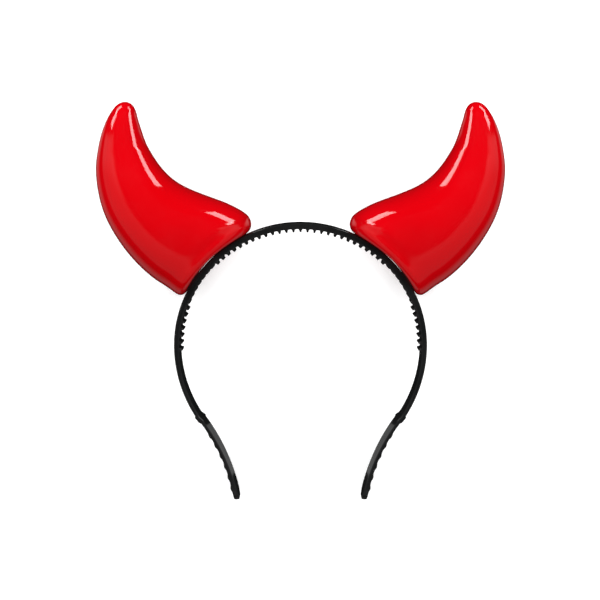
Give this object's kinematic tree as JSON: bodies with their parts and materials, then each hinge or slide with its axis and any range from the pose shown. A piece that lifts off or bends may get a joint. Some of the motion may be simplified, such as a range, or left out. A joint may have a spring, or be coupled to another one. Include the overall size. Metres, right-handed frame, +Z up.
{
  "type": "devil horns headband",
  "caption": "Toothed black plastic hair band with hollow glossy red devil horns, lying on its back.",
  "frame": {"origin": "on the surface it lies on, under the middle of its box", "axes": "+X across the band to the viewer's right, +Y from the leg tips towards the crown, +Z up from the surface it lies on"},
  "size_m": [0.2018, 0.1992, 0.0459],
  "materials": {
    "band_black": "satin moulded plastic",
    "horn_red": "high gloss",
    "post_grey": "plain moulded plastic"
  },
  "bodies": {
    "root": {"headband": "band_black", "horn_left": "horn_red", "horn_right": "horn_red", "horn_post_left": "post_grey", "horn_post_right": "post_grey"}
  },
  "joints": []
}
